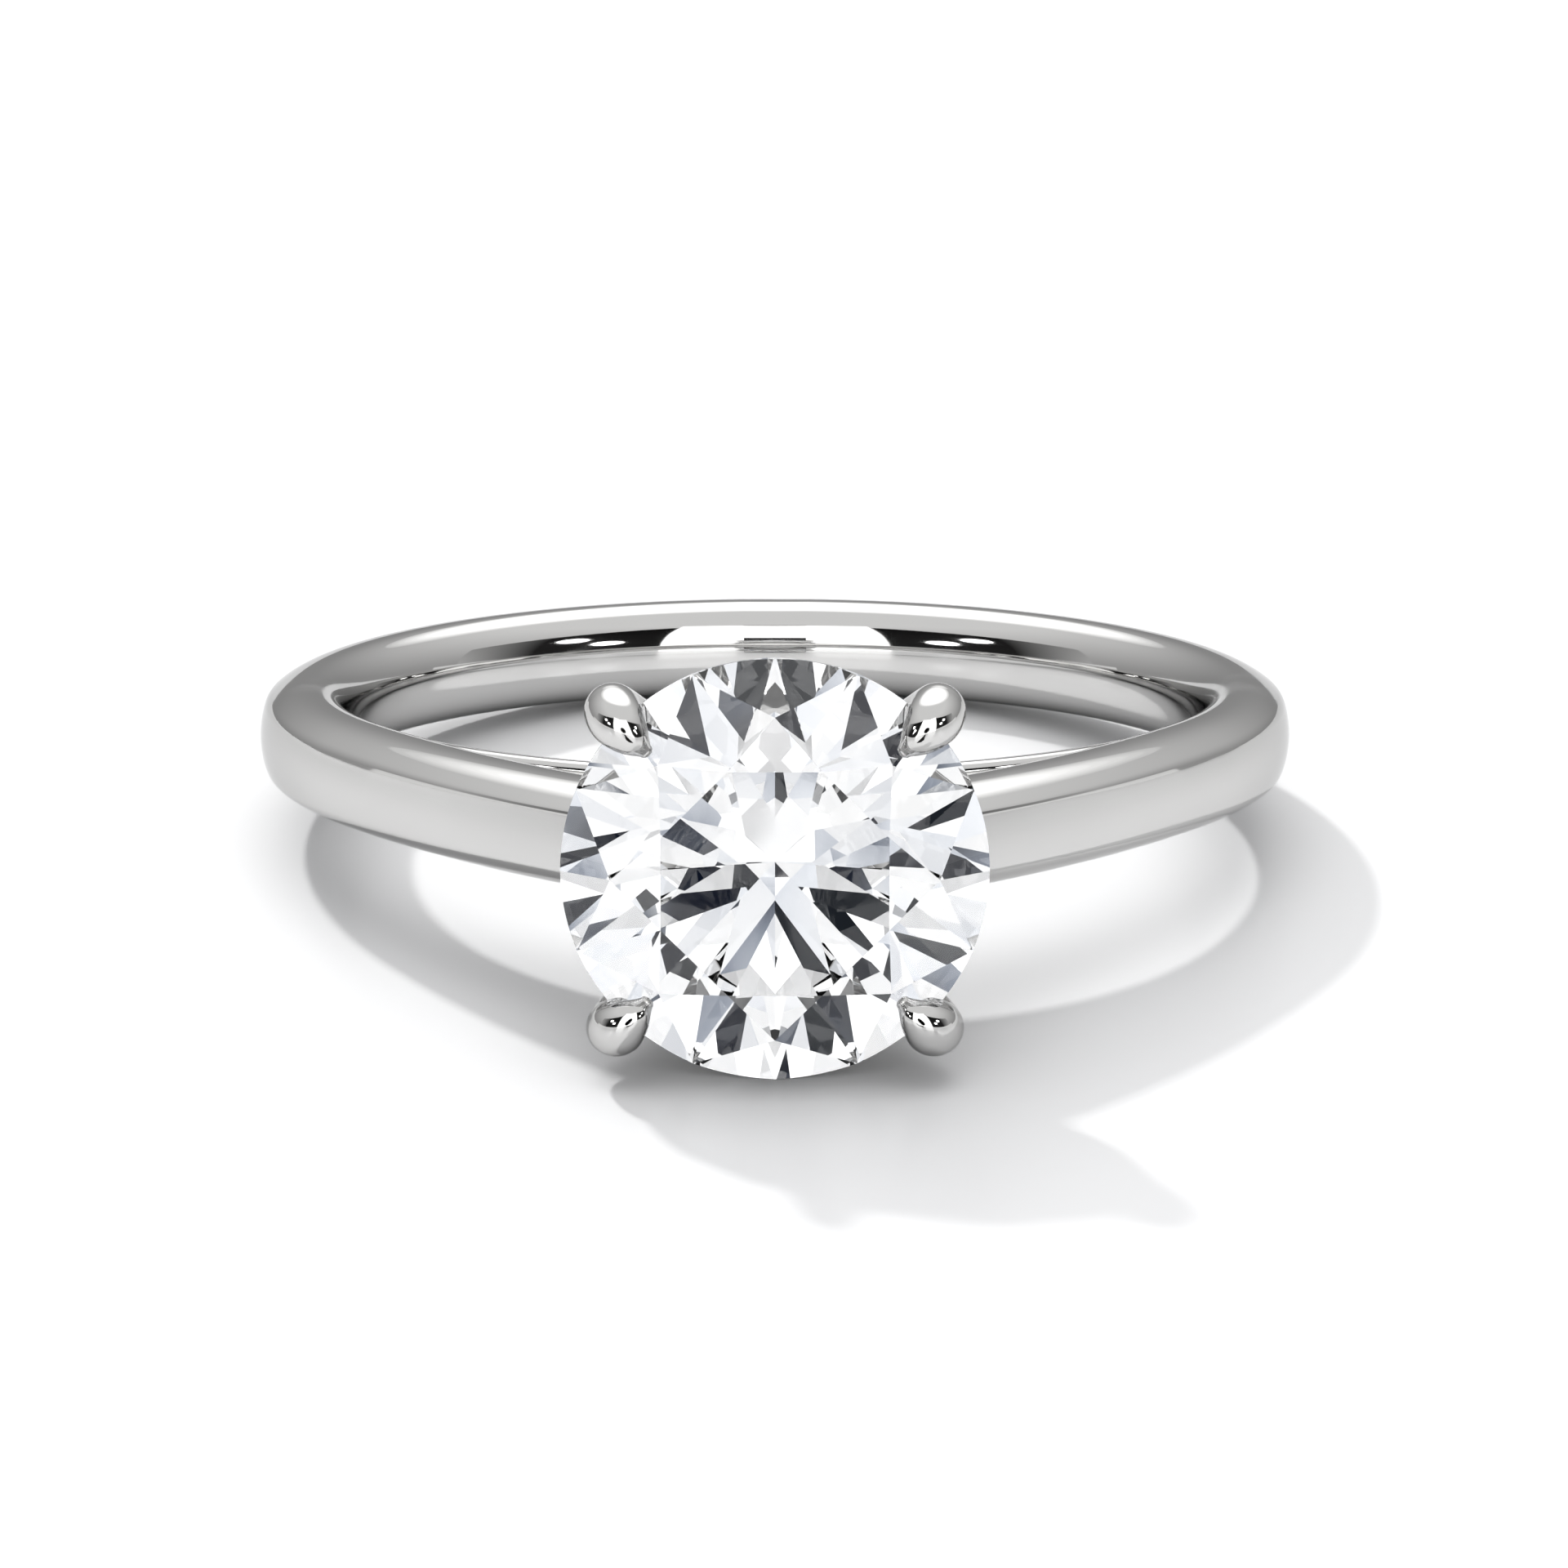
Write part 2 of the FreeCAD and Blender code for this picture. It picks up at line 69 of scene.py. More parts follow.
BRIDGE_INSET = 0.03                 # it shrinks by this much on every side
BRIDGE_CORNER = 0.20                # its outer corners are rounded by this much
BRIDGE_DOME = 0.04                  # how far its outer side bulges
CREST_POWER = 0.92                  # how round the comfort-fit bore is: 1 is an ellipse
CROWN_POWER = 2.6                   # how full the crown beside the outer face is
# the outer face's bulge, its half width and the rounding of its edges change along the band
FACE_DOME_BACK, FACE_DOME_HEAD = 0.13, 0.04
FACE_HALF_BACK, FACE_HALF_HEAD = 0.67, 0.55
EDGE_ROUND_BACK, EDGE_ROUND_HEAD = 0.100, 0.045
TURN_WEIGHT = 0.25                  # how strongly points gather where an outline turns

# the stone and its head
STONE = 3.70
GIRDLE = 0.18
GIRDLE_MIDDLE = 13.08
TABLE = 0.57                        # of the stone's width
CROWN = math.tan(math.radians(34.5))
PAVILION = math.tan(math.radians(40.9))
STAR = 0.50                         # how far the star and the lower-half facets reach
LOWER_HALF = 0.77
TIP_LENGTH = 0.75                   # of the radius there
TIP_END = 0.003
# a prong's middle line: (reach from the stone's axis, height from the finger's middle, radius)
PRONG = (
    (0.92, 8.52, 0.40),             # below the foot, to steer the curve
    (1.42, 9.42, 0.40),             # the foot
    (2.45, 10.90, 0.42),
    (3.35, 12.15, 0.44),
    (3.88, 12.92, 0.48),            # the elbow, beside the girdle
    (3.90, 13.25, 0.50),
    (3.74, 13.60, 0.46),
    (3.42, 13.74, 0.33),            # the claw's nose, on the stone
    (3.12, 13.71, 0.13),
    (2.90, 13.66, 0.05),            # beyond the tip, to steer the curve
)
GALLERY_REACH, GALLERY_HEIGHT, GALLERY_WIRE = 2.15, 10.90, 0.32
BASE_REACH, BASE_TOP_REACH, BASE_HEIGHT = 1.42, 1.78, 0.58
BASE_SINK = 0.10                    # how deep the seat sinks into the bridge
BASE_EDGE = 0.07                    # its edges are rounded by this much
PEG_RADIUS, PEG_LENGTH = 0.70, 1.14
PEG_RECESS = 0.17                   # the peg's end stays this far below the bore


# ---------------------------------------------------------------- meshes


def new_object(name, points, faces):
    """A smooth mesh object from points in the ring's own frame."""
    mesh = bpy.data.meshes.new(name)
    placed = [LYING @ Vector(p) for p in points]
    mesh.from_pydata(placed, [], faces)
    mesh.validate()
    mesh.update()
    obj = bpy.data.objects.new(name, mesh)
    bpy.context.scene.collection.objects.link(obj)
    work = bmesh.new()
    work.from_mesh(mesh)
    bmesh.ops.recalc_face_normals(work, faces=work.faces)
    work.to_mesh(mesh)
    work.free()
    for polygon in mesh.polygons:
        polygon.use_smooth = True
    mesh.set_sharp_from_angle(angle=SHARP_ANGLE)
    return obj


def skin(rows, closed_rows=False):
    """Points and faces over a list of closed loops of equal length. Unless the rows themselves
    close into a ring, the first and the last loop are capped."""
    rows = np.asarray(rows, float)
    count, around = rows.shape[:2]
    points = rows.reshape(-1, 3).tolist()
    faces = []
    for i in range(count if closed_rows else count - 1):
        following = (i + 1) % count
        for j in range(around):
            k = (j + 1) % around
            faces.append((i * around + j, i * around + k, following * around + k, following * around + j))
    if not closed_rows:
        for i in (0, count - 1):
            centre = len(points)
            points.append(rows[i].mean(0).tolist())
            for j in range(around):
                faces.append((i * around + j, i * around + (j + 1) % around, centre))
    return points, faces


def rounded(outline, corners, radius, steps=7):
    """Rounds an outline's corners: each is replaced by a short curve that starts and ends
    radius away from it along the outline."""
    outline = np.asarray(outline, float)
    count = len(outline)
    result = []
    corner_set = set(corners)
    for i, point in enumerate(outline):
        if i not in corner_set:
            near = min(np.linalg.norm(point - outline[c]) for c in corners)
            if near > radius:
                result.append(point)
            continue
        before = walk_along(outline, i, radius, -1)
        after = walk_along(outline, i, radius, 1)
        for step in range(steps + 1):
            t = step / steps
            result.append((1 - t) ** 2 * before + 2 * t * (1 - t) * point + t * t * after)
    return np.array(result)


def walk_along(outline, index, distance, way):
    """The point on the outline a distance away from one of its points, backwards or forwards."""
    count = len(outline)
    here = outline[index]
    left = distance
    while True:
        index = (index + way) % count
        gap = np.linalg.norm(outline[index] - here)
        if gap >= left:
            return here + (outline[index] - here) * (left / gap)
        left -= gap
        here = outline[index]


# ---------------------------------------------------------------- the band


def outer_path(t):
    """The band's outer face on the left side: t runs along its length in millimetres from the
    back to the head. Gives the point and the direction towards the finger."""
    circle_length = OUTER * (math.pi - LEAVES_AT)
    if t <= circle_length:
        angle = math.pi / 2 + t / OUTER
        outward = np.array([math.cos(angle), math.sin(angle)])
        return outward * OUTER, -outward
    leave = 1.5 * math.pi - LEAVES_AT
    centre = -np.array([math.cos(leave), math.sin(leave)]) * (BEND - OUTER)
    angle = leave + (t - circle_length) / BEND
    outward = np.array([math.cos(angle), math.sin(angle)])
    return centre + outward * BEND, -outward


def band_section(head):
    """The band's section as (depth below the outer face, height along the finger).

    A domed face, a crown on each side that is level at its crest, and a comfort-fit bore.
    head is 0 on the shank and rises to 1 where the arm meets the head.
    """
    depth = OUTER - BORE
    dome = FACE_DOME_BACK + (FACE_DOME_HEAD - FACE_DOME_BACK) * head
    edge = FACE_HALF_BACK + (FACE_HALF_HEAD - FACE_HALF_BACK) * head
    half = [(dome * s * s, edge * s) for s in np.linspace(0, 1, 16)]
    corner = len(half) - 1
    for s in np.linspace(0, 1, 24)[1:]:
        rise = HALF_WIDTH - (HALF_WIDTH - edge) * (1 - s) ** CROWN_POWER
        half.append((dome + (CREST - dome) * s, rise))
    for angle in np.linspace(0, math.pi / 2, 36)[1:]:
        run = CREST + (depth - CREST) * math.sin(angle) ** CREST_POWER
        half.append((run, HALF_WIDTH * math.cos(angle) ** CREST_POWER))
    lower = [(run, -rise) for run, rise in half[-2:0:-1]]
    whole = half + lower
    return np.array(whole), [corner, len(whole) - corner]


def resample(outline, count):
    """The closed outline as count points, packed closer where it turns."""
    outline = np.asarray(outline, float)
    closed = np.vstack([outline, outline[:1]])
    steps = np.linalg.norm(np.diff(closed, axis=0), axis=1)
    heading = np.arctan2(np.diff(closed[:, 1]), np.diff(closed[:, 0]))
    turn = np.abs((np.diff(np.concatenate([heading, heading[:1]])) + math.pi) % (2 * math.pi) - math.pi)
    weight = steps + TURN_WEIGHT * turn
    run = np.concatenate([[0], np.cumsum(weight)])
    at = np.linspace(0, run[-1], count, endpoint=False)
    return np.stack([np.interp(at, run, closed[:, k]) for k in (0, 1)], -1)


def band_row(point, inward, head):
    """The band's section, placed at a point of the outer path."""
    section, corners = band_section(head)
    radius = EDGE_ROUND_BACK + (EDGE_ROUND_HEAD - EDGE_ROUND_BACK) * head
    section = resample(rounded(section, corners, radius), 180)
    places = point + inward * section[:, :1]
    return np.column_stack([places, section[:, 1]])


def make_half_band(name, mirror):
    """Half the band, from the sizing piece round to its slanting end at the head."""
    circle_length = OUTER * (math.pi - LEAVES_AT)
    start = OUTER * SIZING_HALF
    end = circle_length + BEND * ARM_TURN
    change_end = circle_length + CHANGE_INTO_ARM
    rows = []
    for t in np.linspace(start, end, 300):
        point, inward = outer_path(t)
        head = np.clip((t - CHANGE_START) / (change_end - CHANGE_START), 0, 1)
        rows.append(band_row(point, inward, head))
    points, faces = trimmed(*skin(np.array(rows)))
    side = -1 if mirror else 1
    return new_object(name, [(x * side, y, z) for x, y, z in points], faces)


def trimmed(points, faces):
    """The left arm's mesh, cut on the slanting line beside the head and closed there."""
    work = bmesh.new()
    vertices = [work.verts.new(p) for p in points]
    for face in faces:
        work.faces.new([vertices[i] for i in face])
    top = Vector((-TRIM_TOP[0], -TRIM_TOP[1], 0))
    low = Vector((-TRIM_LOW[0], -TRIM_LOW[1], 0))
    across = (low - top).cross(Vector((0, 0, 1))).normalized()
    if across.x < 0:
        across.negate()
    cut = bmesh.ops.bisect_plane(
        work, geom=work.verts[:] + work.edges[:] + work.faces[:],
        plane_co=top, plane_no=across, clear_outer=True, dist=1e-6,
    )
    rim = [item for item in cut["geom_cut"] if isinstance(item, bmesh.types.BMEdge)]
    bmesh.ops.contextual_create(work, geom=rim)
    work.verts.index_update()
    points = [tuple(v.co) for v in work.verts]
    faces = [[v.index for v in face.verts] for face in work.faces]
    work.free()
    return points, faces


def make_sizing_piece():
    """The short straight piece let in at the back."""
    rows = []
    for s in np.linspace(-1, 1, 9):
        angle = math.pi / 2 + s * SIZING_HALF
        outward = np.array([math.cos(angle), math.sin(angle)])
        flat = OUTER * math.cos(SIZING_HALF) / math.sin(angle)
        rows.append(band_row(outward * flat, -outward, 0.0))
    points, faces = skin(np.array(rows))
    return new_object("sizing_piece_visual", points, faces)


def make_bridge():
    """The arc that closes the finger hole under the head, with the band's own comfort-fit
    bore. Its ends run out inside the arms."""
    rows = []
    for angle in np.linspace(-BRIDGE_HALF, BRIDGE_HALF, 260):
        outward = np.array([math.sin(angle), -math.cos(angle)])
        hidden = np.clip((abs(angle) - BRIDGE_HIDDEN) / BRIDGE_EASE, 0, 1)
        rows.append(bridge_row(outward, BRIDGE_INSET * hidden))
    points, faces = skin(np.array(rows))
    return new_object("finger_bridge_visual", points, faces)


def bridge_row(outward, inset):
    """One section of the bridge, drawn a little smaller by inset where the arm covers it."""
    crest = OUTER - CREST
    bore = BORE + inset
    top = BORE + BRIDGE_DEPTH
    width = BRIDGE_HALF_WIDTH - inset
    face = width - BRIDGE_CORNER
    half = [(bore, 0.0)]
    for angle in np.linspace(0, math.pi / 2, 40)[1:]:
        round_out = 1 - math.cos(angle) ** CREST_POWER
        half.append((bore + (crest - bore) * round_out, width * math.sin(angle) ** CREST_POWER))
    for angle in np.linspace(0, math.pi / 2, 12)[1:]:
        run = crest + (top - BRIDGE_DOME - crest) * math.sin(angle)
        half.append((run, width - BRIDGE_CORNER * (1 - math.cos(angle))))
    for s in np.linspace(1, 0, 10)[1:]:
        half.append((top - BRIDGE_DOME * s * s, face * s))
    other = [(run, -rise) for run, rise in half[-2:0:-1]]
    outline = resample(np.array(half + other), 150)
    places = outward * outline[:, :1]
    return np.column_stack([places, outline[:, 1]])


# ---------------------------------------------------------------- the head


def around_stone(reach, angle, height):
    """A point at a reach and angle about the stone's axis, height from the finger's middle."""
    return np.array([reach * math.cos(angle), -height, reach * math.sin(angle)])


def turned(name, profile, around=160):
    """A ring turned about the stone's axis from (reach, height) points."""
    rows = []
    for i in range(around):
        angle = 2 * math.pi * i / around
        rows.append([around_stone(reach, angle, height) for reach, height in profile])
    points, faces = skin(np.array(rows), closed_rows=True)
    return new_object(name, points, faces)


def make_gallery():
    """The round wire that ties the prongs together under the stone."""
    profile = []
    for i in range(40):
        angle = 2 * math.pi * i / 40
        profile.append((
            GALLERY_REACH + GALLERY_WIRE * math.cos(angle),
            GALLERY_HEIGHT + GALLERY_WIRE * math.sin(angle),
        ))
    return turned("gallery_rail_visual", profile)


def make_base():
    """The turned seat under the stone, with a hole for the culet and the peg."""
    low = BORE + BRIDGE_DEPTH - BASE_SINK
    top = low + BASE_HEIGHT
    profile = [
        (PEG_RADIUS, low), (PEG_RADIUS, top), (BASE_TOP_REACH, top), (BASE_REACH, low),
    ]
    dense = []
    for i in range(4):
        a, b = np.array(profile[i]), np.array(profile[(i + 1) % 4])
        dense.extend(a + (b - a) * s for s in np.linspace(0, 1, 9)[:-1])
    return turned("head_base_visual", rounded(dense, [0, 8, 16, 24], BASE_EDGE, 5))


def make_peg():
    """The peg that pins the head through the bridge, with rounded ends."""
    low = BORE + PEG_RECESS
    top = low + PEG_LENGTH
    rows = []
    for reach, height in (
        (PEG_RADIUS - 0.08, low), (PEG_RADIUS - 0.02, low + 0.02), (PEG_RADIUS, low + 0.08),
        (PEG_RADIUS, (low + top) / 2), (PEG_RADIUS, top - 0.1), (PEG_RADIUS - 0.02, top - 0.02),
        (PEG_RADIUS - 0.1, top),
    ):
        rows.append([around_stone(reach, 2 * math.pi * j / 64, height) for j in range(64)])
    points, faces = skin(np.array(rows))
    return new_object("head_peg_visual", points, faces)


def through_knots(knots, count):
    """A smooth curve (Catmull-Rom) through all but the first and last of the knots."""
    places = []
    for t in np.linspace(1, len(knots) - 2, count):
        i = min(int(t), len(knots) - 3)
        f = t - i
        a, b, c, d = knots[i - 1:i + 3]
        places.append(0.5 * (
            2 * b + (c - a) * f + (2 * a - 5 * b + 4 * c - d) * f ** 2 + (3 * b - a - 3 * c + d) * f ** 3
        ))
    return np.array(places)


def prong_spine():
    """The prong's middle line with its radius, closed by a rounded tip."""
    spine = through_knots(np.array(PRONG), 160)
    last = spine[-1]
    heading = spine[-1][:2] - spine[-4][:2]
    heading /= np.linalg.norm(heading)
    tip = []
    for angle in np.linspace(0, math.pi / 2, 22)[1:]:
        ahead = last[:2] + heading * last[2] * TIP_LENGTH * math.sin(angle)
        tip.append((ahead[0], ahead[1], max(TIP_END, last[2] * math.cos(angle))))
    return np.vstack([spine, tip])


def make_prong(name, side, level):
    """A prong: a wire that widens upwards, bends over the girdle at its elbow and ends in a
    rounded claw that lies on the stone."""
    share = math.sqrt(0.5)
    outward = np.array([side * share, 0, level * share])
    up = np.array([0.0, -1.0, 0.0])
    across = np.cross(outward, up)
    spine = prong_spine()
    rows = []
    for i, (reach, height, radius) in enumerate(spine):
        before, after = spine[max(0, i - 2)], spine[min(len(spine) - 1, i + 2)]
        along = (after[0] - before[0]) * outward + (after[1] - before[1]) * up
        along /= np.linalg.norm(along)
        sideways = np.cross(across, along)
        centre = reach * outward + height * up
        rows.append([
            centre + radius * (math.cos(a) * across + math.sin(a) * sideways)
            for a in np.linspace(0, 2 * math.pi, 64, endpoint=False)
        ])
    points, faces = skin(np.array(rows))
    return new_object(name, points, faces)


# ---------------------------------------------------------------- the stone


def facet_planes():
    """Each facet plane as (azimuth, slope, reach, height), as the stone is cut in the CAD."""
    half_step = math.radians(22.5)
    quarter_step = half_step / 2
    top = GIRDLE / 2
    corner = TABLE * STONE
    flat = corner * math.cos(half_step)
    table_height = top + (STONE - corner) * CROWN
    star_reach = flat + STAR * (STONE - flat)
    star_height = top + (STONE - star_reach * math.cos(half_step)) * CROWN
    star_slope = (table_height - star_height) / (star_reach - flat)
    half_reach = STONE * math.cos(quarter_step)
    upper_slope = (star_height - top) / (half_reach - star_reach * math.cos(quarter_step))
    meet_reach = STONE * (1 - LOWER_HALF)
    meet_depth = (STONE - meet_reach * math.cos(half_step)) * PAVILION
    lower_slope = meet_depth / (half_reach - meet_reach * math.cos(quarter_step))
    planes = [(0.0, 0.0, 0.0, table_height)]
    for turn in range(8):
        main = (2 * turn + 1) * half_step
        planes.append((main, CROWN, STONE, top))
        planes.append((main - half_step, star_slope, flat, table_height))
        planes.append((main, -PAVILION, STONE, -top))
        for side in (-1, 1):
            planes.append((main + side * quarter_step, upper_slope, half_reach, top))
            planes.append((main + side * quarter_step, -lower_slope, half_reach, -top))
    return planes


def make_diamond():
    """A round brilliant cut from a many-sided rod, one facet plane at a time."""
    work = bmesh.new()
    bmesh.ops.create_cone(
        work, cap_ends=True, segments=192, radius1=STONE, radius2=STONE, depth=4 * STONE,
    )
    for azimuth, slope, reach, height in facet_planes():
        outward = Vector((math.cos(azimuth), math.sin(azimuth), 0))
        facing = Vector((0, 0, 1)) if slope >= 0 else Vector((0, 0, -1))
        normal = (outward * abs(slope) + facing).normalized()
        cut = bmesh.ops.bisect_plane(
            work,
            geom=work.verts[:] + work.edges[:] + work.faces[:],
            plane_co=outward * reach + Vector((0, 0, height)),
            plane_no=normal,
            clear_outer=True,
            dist=1e-7,
        )
        edges = [e for e in cut["geom_cut"] if isinstance(e, bmesh.types.BMEdge)]
        bmesh.ops.contextual_create(work, geom=edges)
    bmesh.ops.remove_doubles(work, verts=work.verts, dist=1e-5)
    bmesh.ops.recalc_face_normals(work, faces=work.faces)
    # the stone's own axis turns to point along -Y
    stand = Matrix.Translation((0, -GIRDLE_MIDDLE, 0)) @ Matrix.Rotation(math.pi / 2, 4, "X")
    bmesh.ops.transform(work, matrix=LYING @ stand, verts=work.verts)
    mesh = bpy.data.meshes.new("diamond_visual")
    work.to_mesh(mesh)
    work.free()
    obj = bpy.data.objects.new("diamond_visual", mesh)
    bpy.context.scene.collection.objects.link(obj)
    return obj


# ---------------------------------------------------------------- materials

METAL_TINT = (0.64, 0.636, 0.628)
METAL_TINT_LOW = tuple(c * 0.955 for c in METAL_TINT)
DIAMOND_BLUE, DIAMOND_CLEAR = (0.990, 0.995, 1.0), (1.0, 1.0, 0.999)
DIAMOND_INDEX = 2.417


def new_material(name):
    """An empty node material: the material, its node tree and its output node."""
    material = bpy.data.materials.new(name)
    material.use_nodes = True
    tree = material.node_tree
    tree.nodes.clear()
    output = tree.nodes.new("ShaderNodeOutputMaterial")
    return material, tree, output


def noise(tree, vector, scale, detail, roughness=0.5):
    """The value of a noise texture."""
    node = tree.nodes.new("ShaderNodeTexNoise")
    node.inputs["Scale"].default_value = scale
    node.inputs["Detail"].default_value = detail
    node.inputs["Roughness"].default_value = roughness
    tree.links.new(vector, node.inputs["Vector"])
    return node.outputs["Fac"]


def remap(tree, value, low, high, to_low, to_high):
    """A value moved from the range low to high into the range to_low to to_high."""
    node = tree.nodes.new("ShaderNodeMapRange")
    node.inputs["From Min"].default_value = low
    node.inputs["From Max"].default_value = high
    node.inputs["To Min"].default_value = to_low
    node.inputs["To Max"].default_value = to_high
    tree.links.new(value, node.inputs["Value"])
    return node.outputs["Result"]


def blended(tree, factor, low, high):
    """A colour between two others."""
    node = tree.nodes.new("ShaderNodeMix")
    node.data_type = "RGBA"
    node.inputs["A"].default_value = (*low, 1)
    node.inputs["B"].default_value = (*high, 1)
    tree.links.new(factor, node.inputs["Factor"])
    return node.outputs["Result"]


def polished_metal(name, stretched):
    """Rhodium-plated white gold: a mirror polish with the finest polishing lines, a few hairline
    scratches, and a soft change in how sharp it is. stretched squeezes the lines along each axis."""
    material, tree, output = new_material(name)
    links = tree.links
    shader = tree.nodes.new("ShaderNodeBsdfPrincipled")
    shader.inputs["Specular Tint"].default_value = (0.72, 0.72, 0.72, 1)
    shader.inputs["Metallic"].default_value = 1.0
    links.new(shader.outputs["BSDF"], output.inputs["Surface"])
    place = tree.nodes.new("ShaderNodeTexCoord")
    stretch = tree.nodes.new("ShaderNodeMapping")
    stretch.inputs["Scale"].default_value = stretched
    links.new(place.outputs["Object"], stretch.inputs["Vector"])
    lines = noise(tree, stretch.outputs["Vector"], 900.0, 4.0)
    cloud = noise(tree, place.outputs["Object"], 420.0, 3.0)

    roughness = tree.nodes.new("ShaderNodeMath")
    roughness.operation = "ADD"
    links.new(remap(tree, cloud, 0.35, 0.70, 0.035, 0.075), roughness.inputs[0])
    links.new(remap(tree, lines, 0.60, 0.74, 0.0, 0.07), roughness.inputs[1])
    links.new(roughness.outputs["Value"], shader.inputs["Roughness"])
    links.new(blended(tree, cloud, METAL_TINT, METAL_TINT_LOW), shader.inputs["Base Color"])

    bump = tree.nodes.new("ShaderNodeBump")
    bump.inputs["Strength"].default_value = 0.03
    bump.inputs["Distance"].default_value = 0.00002
    links.new(lines, bump.inputs["Height"])
    links.new(bump.outputs["Normal"], shader.inputs["Normal"])
    return material


def diamond_material():
    """Diamond: clear, of index 2.42, with its plain surface reflections held down so that the
    facets beneath show, growth zones of the faintest blue and a few faint smudges of handling."""
    material, tree, output = new_material("diamond")
    links = tree.links
    place = tree.nodes.new("ShaderNodeTexCoord")
    zones = noise(tree, place.outputs["Object"], 260.0, 2.0)
    smudges = noise(tree, place.outputs["Object"], 900.0, 3.0)

    shader = tree.nodes.new("ShaderNodeBsdfPrincipled")
    shader.inputs["IOR"].default_value = DIAMOND_INDEX
    shader.inputs["Transmission Weight"].default_value = 1.0
    shader.inputs["Specular Tint"].default_value = (0.45, 0.45, 0.45, 1)
    links.new(blended(tree, zones, DIAMOND_BLUE, DIAMOND_CLEAR), shader.inputs["Base Color"])
    links.new(remap(tree, smudges, 0.64, 0.80, 0.0, 0.02), shader.inputs["Roughness"])
    links.new(shader.outputs["BSDF"], output.inputs["Surface"])
    return material


# ---------------------------------------------------------------- build

metal = polished_metal("white_gold", (0.35, 0.35, 3.0))
prong_metal = polished_metal("white_gold_prongs", (1.0, 0.4, 1.0))
stone_material = diamond_material()

pieces = {
    "shank_left": make_half_band("shank_left_visual", False),
    "shank_right": make_half_band("shank_right_visual", True),
    "sizing_piece": make_sizing_piece(),
    "finger_bridge": make_bridge(),
    "head_base": make_base(),
    "head_peg": make_peg(),
    "gallery_rail": make_gallery(),
    "prong_upper_left": make_prong("prong_upper_left_visual", -1, 1),
    "prong_upper_right": make_prong("prong_upper_right_visual", 1, 1),
    "prong_lower_left": make_prong("prong_lower_left_visual", -1, -1),
    "prong_lower_right": make_prong("prong_lower_right_visual", 1, -1),
    "diamond": make_diamond(),
}
for node, piece in pieces.items():
    if node == "diamond":
        piece.data.materials.append(stone_material)
    else:
        piece.data.materials.append(prong_metal if "prong" in node else metal)
    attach(piece, "root")
    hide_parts(node)

# ---------------------------------------------------------------- stage, light, camera

MIDDLE = Vector((0, 0, 0.003))      # what the cards and lights face
FLOOR_HALF = 3.0

# the camera looks at the finger hole from in front and above the band's own plane
CAMERA_DISTANCE = 110.0
CAMERA_RISE = math.radians(10.877)
CAMERA_PITCH, CAMERA_YAW = -0.0102, 0.0016
CAMERA_LENS, CAMERA_SENSOR = 129.48, 36.0

# the metal's surroundings: distances in metres, azimuths and elevations in degrees
ROOM_DISTANCE = 1.0
ROOM_HALF, ROOM_FADE = 72, 28       # dark to either side, and then fading over so much more
ROOM_FOOT = 4                       # the room is bright below this
FOOT_HALF, FOOT_LOW = 110, -1
CARD_HALF, CARD_TOP, CARD_DISTANCE = 33, 47, 0.95
LAMPS = ((50, 17), (63, 24))        # to either side
LAMP_RADIUS, LAMP_DISTANCE = 5.0, 0.92
CAMERA_HOLE = (0, 11, 9, 0.90)      # azimuth, elevation, radius and distance
# the soft box is discs that lie one behind the other, wider and weaker, so its edge is soft
SOFT_BOX_STEPS = 20
SOFT_BOX_AZIMUTH, SOFT_BOX_ELEVATION, SOFT_BOX_RADIUS = 180, 54, 14
SOFT_BOX_DISTANCE, SOFT_BOX_GAP = 0.9, 0.003
SOFT_BOX_STRENGTH, SOFT_BOX_FALL = 3.4, 0.13
# the dark strip on the table: how far it lies from the ring's middle, and its half widths
FLAG_NEAR, FLAG_FAR = 0.025, 0.15
FLAG_NEAR_HALF, FLAG_FAR_HALF, FLAG_HEIGHT = 0.0028, 0.0045, 0.0002

# the stone's surroundings: (azimuth, elevation, radius)
STONE_DARK = ((18, 11, 8), (42, 27, 7), (-50, 30, 6))
STONE_DARK_DISTANCE = 0.80
STONE_WHITE = ((4, 47, 9), (-8, 33, 6), (-30, 60, 8))
STONE_WHITE_DISTANCE = 0.85
# the room that it sees beyond them: (place on a noise from 0 to 1, colour)
PATCH_SCALE, PATCH_SHIFT = 3.6, (5.4, 2.7, 6.9)
ROOM_PATCHES = (
    (0.405, (0.002, 0.004, 0.012, 1)),
    (0.428, (0.25, 0.28, 0.34, 1)),
    (0.45, (0.80, 0.83, 0.88, 1)),
    (0.50, (1.0, 1.0, 1.0, 1)),
    (0.56, (0.78, 0.80, 0.84, 1)),
    (0.62, (1.0, 1.0, 1.0, 1)),
)


def direction(azimuth, elevation):
    """A unit vector: azimuth 0 is towards the viewer and 90 to the right, in degrees."""
    turn, rise = math.radians(azimuth), math.radians(elevation)
    return Vector((math.sin(turn) * math.cos(rise), -math.cos(turn) * math.cos(rise), math.sin(rise)))


def glowing(name, strength, tint=(1, 1, 1), strength_low=None):
    """An even glow, or one that changes from strength_low at the card's foot upwards."""
    material, tree, output = new_material(name)
    glow = tree.nodes.new("ShaderNodeEmission")
    glow.inputs["Color"].default_value = (*tint, 1)
    glow.inputs["Strength"].default_value = strength
    tree.links.new(glow.outputs["Emission"], output.inputs["Surface"])
    if strength_low is not None:
        place = tree.nodes.new("ShaderNodeTexCoord")
        parts = tree.nodes.new("ShaderNodeSeparateXYZ")
        tree.links.new(place.outputs["Generated"], parts.inputs["Vector"])
        change = remap(tree, parts.outputs["Z"], 0.0, 1.0, strength_low, strength)
        tree.links.new(change, glow.inputs["Strength"])
    return material


